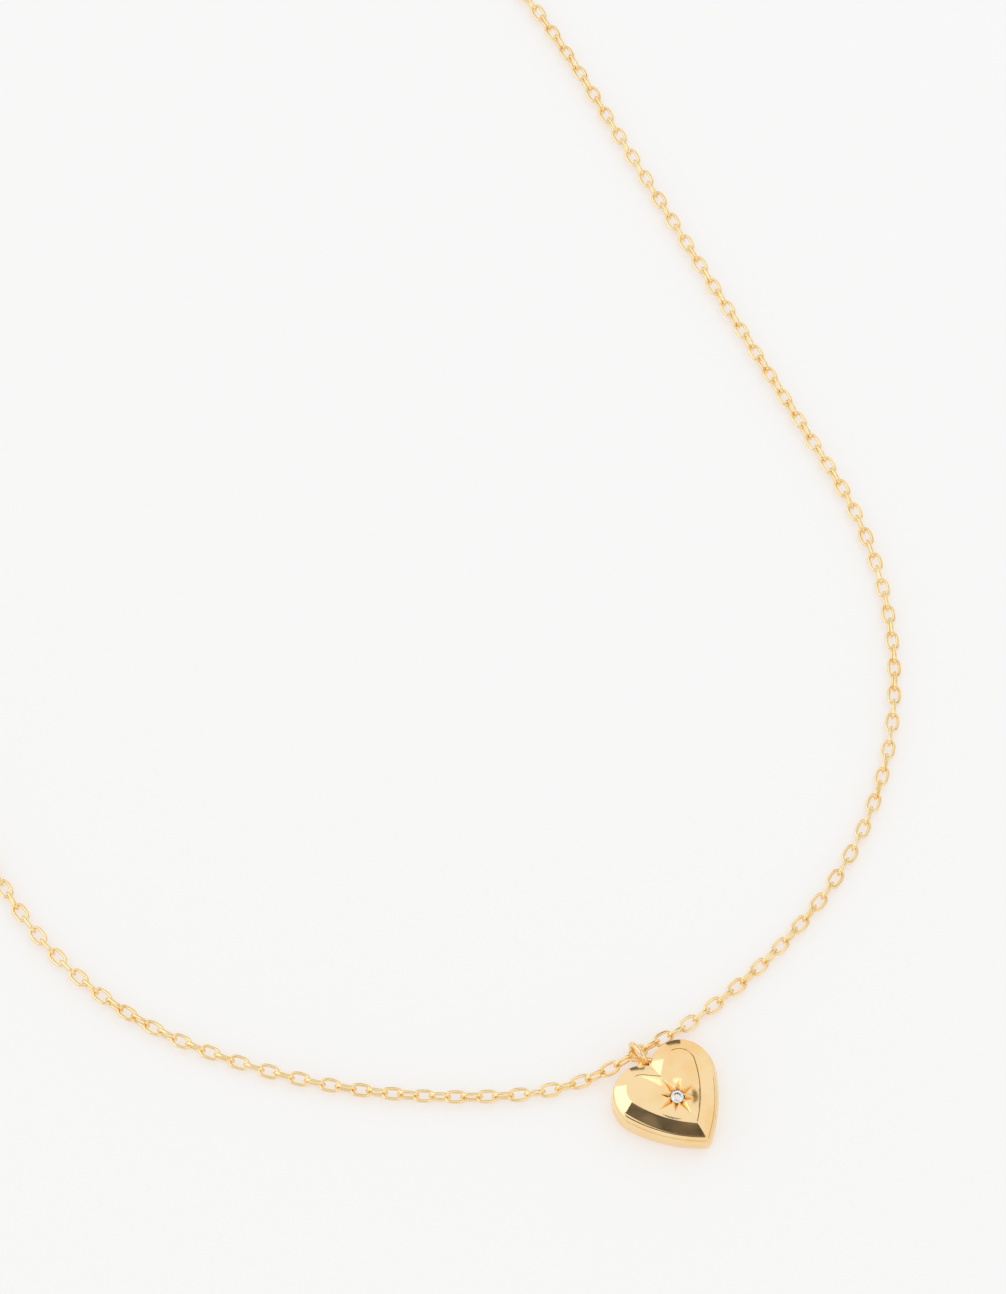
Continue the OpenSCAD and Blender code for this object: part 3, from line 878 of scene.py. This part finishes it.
# ---- Studio -----------------------------------------------------------------
@dataclass
class Studio:
    """A pale floor, an even white surround, a soft key, cards for reflections and the camera."""

    aim: tuple[float, float, float] = (-15.1, 45.1, 0.0)
    distance: float = 374.0
    elevation: float = 64.0
    lens: float = 111.3
    floor: Colour = (0.24, 0.50, 0.58)
    floor_glow: Colour = (0.695, 0.435, 0.355)

    def build_floor(self) -> None:
        """A wide, plain floor that glows a little, which softens shadows."""
        mesh = bpy.data.meshes.new("floor")
        s = 3.0  # half its side, in metres
        mesh.from_pydata([(-s, -s, 0), (s, -s, 0), (s, s, 0), (-s, s, 0)], [], [(0, 1, 2, 3)])
        plane = bpy.data.objects.new("floor", mesh)
        bpy.context.scene.collection.objects.link(plane)
        paper = bpy.data.materials.new("pale_floor")
        paper.use_nodes = True
        shader = paper.node_tree.nodes["Principled BSDF"]
        shader.inputs["Base Color"].default_value = (*self.floor, 1)
        shader.inputs["Roughness"].default_value = 0.9
        shader.inputs["Specular IOR Level"].default_value = 0.0
        shader.inputs["Emission Color"].default_value = (*self.floor_glow, 1)
        shader.inputs["Emission Strength"].default_value = 1.0
        mesh.materials.append(paper)

    def card(self, name: str, ends: tuple[Direction, Direction], spread: float,
             colour: Colour, strength: float = 1.0, reach: float = 420.0,
             mottle: float = 0.0) -> None:
        """A card that only shows in reflections, seen from the pendant as a strip.

        Args:
            name: the card's name.
            ends: the directions of the strip's two ends.
            spread: half of the strip's width, in degrees.
            colour: what it shines with.
            strength: how brightly.
            reach: how far off it stands, so that a nearer card hides a farther one.
            mottle: how far its tone strays either way, as a share.
        """
        a, b = (np.array(end) / np.linalg.norm(end) for end in ends)
        out = (a + b) / np.linalg.norm(a + b)
        along = (b - a) / np.linalg.norm(b - a)
        half = math.tan(math.acos(float(a @ out))) * reach
        wide = math.tan(math.radians(spread)) * reach
        across = np.cross(out, along)
        signs = ((-1, -1), (1, -1), (1, 1), (-1, 1))
        corners = [out * reach + along * i * half + across * j * wide for i, j in signs]
        mesh = bpy.data.meshes.new(name)
        mesh.from_pydata([tuple(c * MM) for c in corners], [], [(3, 2, 1, 0)])
        board = bpy.data.objects.new(name, mesh)
        bpy.context.scene.collection.objects.link(board)
        paint = bpy.data.materials.new(name)
        paint.use_nodes = True
        nodes, links = paint.node_tree.nodes, paint.node_tree.links
        nodes.clear()
        glow = nodes.new("ShaderNodeEmission")
        share = remap(nodes, links, noise(nodes, links, 14.0, 5.0), source=(0.35, 0.65))
        dim = tuple(c * (1 - mottle) for c in colour)
        bright = tuple(c * (1 + mottle) for c in colour)
        links.new(mix_tone(nodes, links, share, dim, bright), glow.inputs["Color"])
        glow.inputs["Strength"].default_value = strength
        links.new(glow.outputs[0], nodes.new("ShaderNodeOutputMaterial").inputs["Surface"])
        mesh.materials.append(paint)
        board.visible_camera = board.visible_diffuse = board.visible_shadow = False
        board.visible_transmission = False

    def build_light(self) -> None:
        """An even white surround, a soft key, and the cards that the gold mirrors."""
        world = bpy.data.worlds.new("surround")
        world.use_nodes = True
        world.node_tree.nodes["Background"].inputs["Color"].default_value = (1.0, 0.995, 0.985, 1)
        world.node_tree.nodes["Background"].inputs["Strength"].default_value = 0.97
        bpy.context.scene.world = world
        key = bpy.data.lights.new("key", "AREA")
        key.shape = "DISK"  # its size and place are in metres
        key.size = 0.35
        key.energy = 0.3
        lamp = bpy.data.objects.new("key", key)
        bpy.context.scene.collection.objects.link(lamp)
        lamp.location = (0.25, 0.45, 0.6)
        lamp.rotation_euler = (-lamp.location).to_track_quat("-Z", "Y").to_euler()
        lamp.visible_glossy = False
        brown, umber, white = (0.17, 0.15, 0.13), (0.30, 0.21, 0.10), (1.0, 0.99, 0.97)
        self.card("camera_card", ((-0.575, -0.405, 0.71), (0.10, -0.65, 0.75)), 9.5, brown,
                  reach=400.0, mottle=0.4)
        self.card("window_card", ((-0.54, -0.46, 0.70), (-0.76, 0.50, 0.42)), 12, white, 1.7)
        self.card("horizon_card", ((-0.30, 0.95, 0.11), (0.07, 0.99, 0.08)), 7.0, brown)
        self.card("right_card", ((0.44, 0.16, 0.88), (0.38, 0.68, 0.66)), 9, umber)
        self.card("far_card", ((-0.2, 0.80, 0.57), (0.3, 0.78, 0.57)), 8, umber)
        self.card("glare_card", ((-0.03, 0.50, 0.864), (0.09, 0.50, 0.864)), 1.8, white, 1.5)
        self.card("side_card", ((1.0, -0.5, 0.08), (1.0, 0.5, 0.08)), 7, umber)

    def build_camera(self) -> None:
        """A long lens that looks down at the pendant and the near half of the chain."""
        e = math.radians(self.elevation)
        data = bpy.data.cameras.new("camera")
        data.sensor_width = 36.0
        data.lens = self.lens
        data.clip_start, data.clip_end = 0.01, 20.0  # metres
        camera = bpy.data.objects.new("camera", data)
        bpy.context.scene.collection.objects.link(camera)
        x, y, z = self.aim
        back, up = self.distance * math.cos(e), self.distance * math.sin(e)
        camera.location = (x * MM, (y - back) * MM, (z + up) * MM)
        camera.rotation_euler = (math.radians(90) - e, 0, 0)
        bpy.context.scene.camera = camera

    def build(self) -> None:
        """Sets up the whole studio."""
        bpy.context.scene.view_settings.view_transform = "Standard"
        self.build_camera()
        self.build_floor()
        self.build_light()


def dress_plain(name: str, finish: Finish) -> None:
    """Gives a CAD node that is kept as it is its finish."""
    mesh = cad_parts[name].data
    mesh.materials.clear()
    mesh.materials.append(finish.material())


def main() -> None:
    """Builds the studio, then each part of the necklace in order."""
    logging.basicConfig(level=logging.INFO, format="%(message)s")
    Studio().build()
    Heart().dress()
    Chain().dress()
    for name in ("clasp_ring", "clasp_body", "clasp_lever", "clasp_rivet", "extender_ring",
                 "extender_1", "extender_2", "tag_ring", "end_tag"):
        dress_plain(name, Gold.POLISHED.value)
    dress_plain("clasp_spring", SpringSteel())
    dress_plain("stone_seat", Gold.SETTING.value)


if __name__ == "__main__":
    main()
